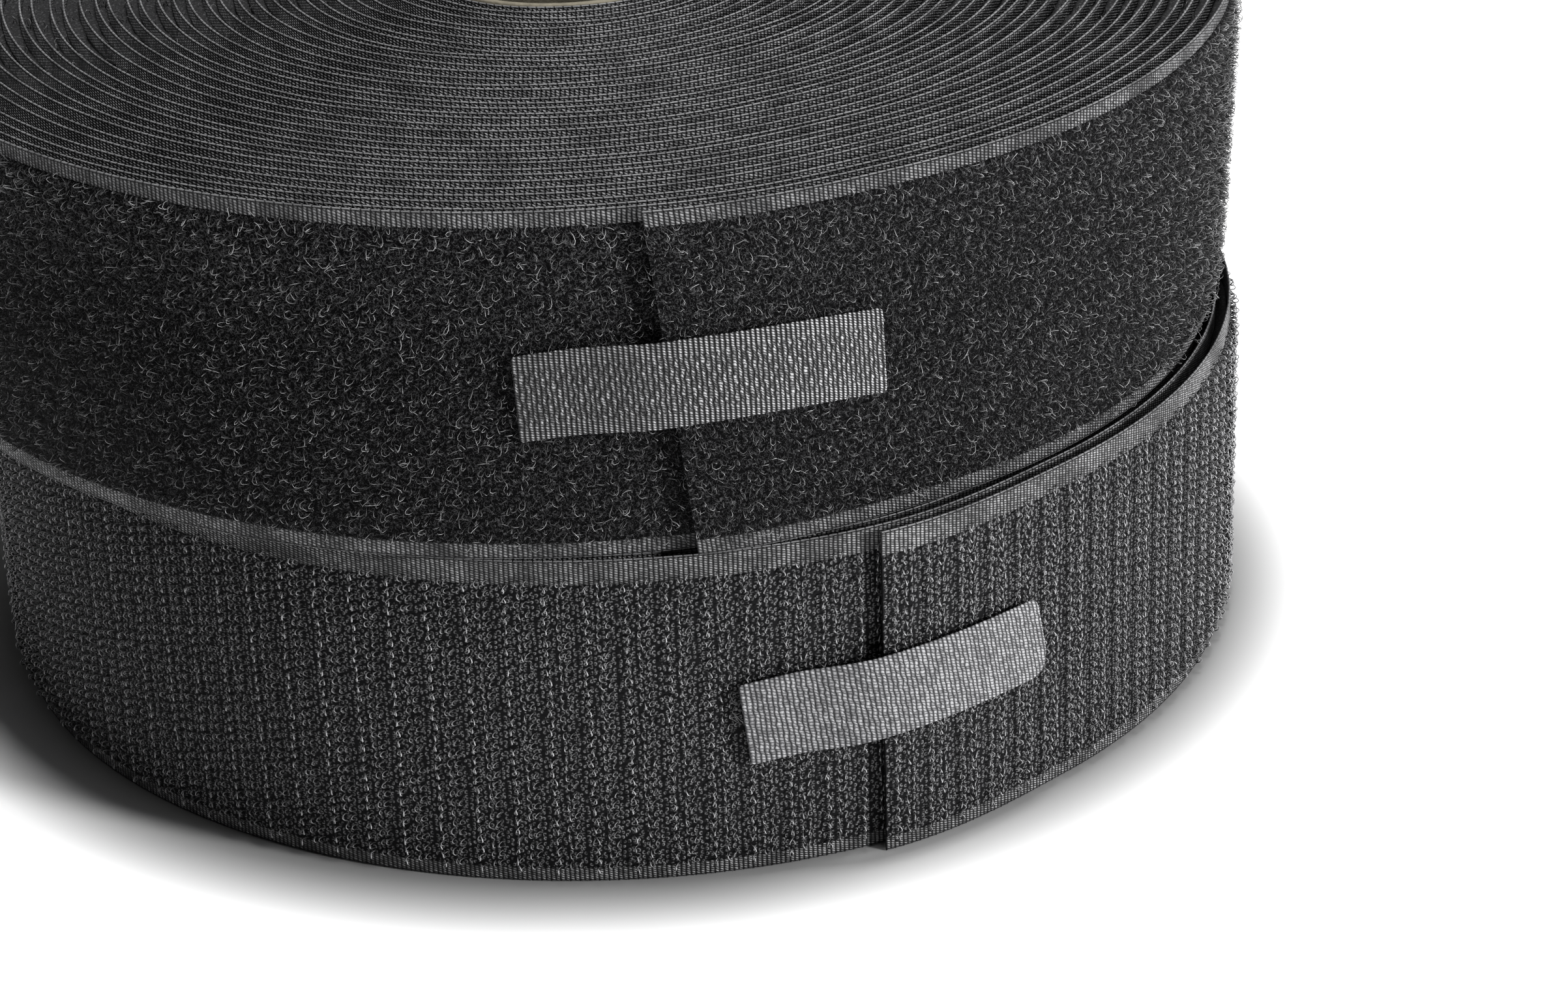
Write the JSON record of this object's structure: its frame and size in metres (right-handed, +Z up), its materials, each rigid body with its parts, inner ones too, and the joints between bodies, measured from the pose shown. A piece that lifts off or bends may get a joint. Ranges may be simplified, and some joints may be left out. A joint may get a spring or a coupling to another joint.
{
  "type": "hook and loop tape roll",
  "caption": "Stacked rolls of woven fastener tape: looped pile tape on hook tape, each wound on a card core, its tail held by a short mating strip.",
  "frame": {"origin": "under the middle of the whole stack's box, on the surface that the hook roll stands on", "axes": "+Z up along both rolls' axes, -Y towards the cut ends and strips that the picture faces, +X to its right"},
  "size_m": [0.2042, 0.2082, 0.1003],
  "materials": {
    "core_card": "plain grey-brown card, matt",
    "tape_weave": "tightly woven charcoal nylon, slight sheen on the ribs",
    "loop_pile": "napped charcoal loops of fine filament, matt with small glints",
    "hook_monofilament": "stiff black filament hooks in rows, satin",
    "strip_weave": "back of a narrow woven tape, dark grey, matt"
  },
  "bodies": {
    "hook_roll": {"hook_roll_core": "core_card", "hook_tape_wound": "tape_weave", "hook_tape_outer_turn": "tape_weave", "hook_field_outer_turn": "hook_monofilament"},
    "hook_tail": {"hook_tape_tail": "tape_weave", "hook_field_tail": "hook_monofilament"},
    "hook_strip": {"hook_roll_closure_strip": "strip_weave", "hook_roll_strip_loops": "loop_pile"},
    "loop_roll": {"loop_roll_core": "core_card", "loop_tape_wound": "tape_weave", "loop_tape_outer_turn": "tape_weave", "loop_pile_outer_turn": "loop_pile"},
    "loop_tail": {"loop_tape_tail": "tape_weave", "loop_pile_tail": "loop_pile"},
    "loop_strip": {"loop_roll_closure_strip": "strip_weave", "loop_roll_strip_hooks": "hook_monofilament"}
  },
  "joints": [
    {"name": "loop_roll_lift", "type": "slide", "parent": "hook_roll", "child": "loop_roll", "axis": [0, 0, 1], "range_m": [0, 0.06]},
    {"name": "hook_tail_swing", "type": "hinge", "parent": "hook_roll", "child": "hook_tail", "pos_m": [0.0936, -0.04211, 0.025], "axis": [0, 0, 1], "range_deg": [0, 60]},
    {"name": "hook_strip_peel", "type": "hinge", "parent": "hook_tail", "child": "hook_strip", "pos_m": [0.06456, -0.08317, 0.025], "axis": [0, 0, 1], "range_deg": [0, 75]},
    {"name": "loop_tail_swing", "type": "hinge", "parent": "loop_roll", "child": "loop_tail", "pos_m": [0.07867, -0.06414, 0.0753], "axis": [0, 0, 1], "range_deg": [0, 60]},
    {"name": "loop_strip_peel", "type": "hinge", "parent": "loop_tail", "child": "loop_strip", "pos_m": [0.04223, -0.09413, 0.0753], "axis": [0, 0, 1], "range_deg": [0, 75]}
  ]
}
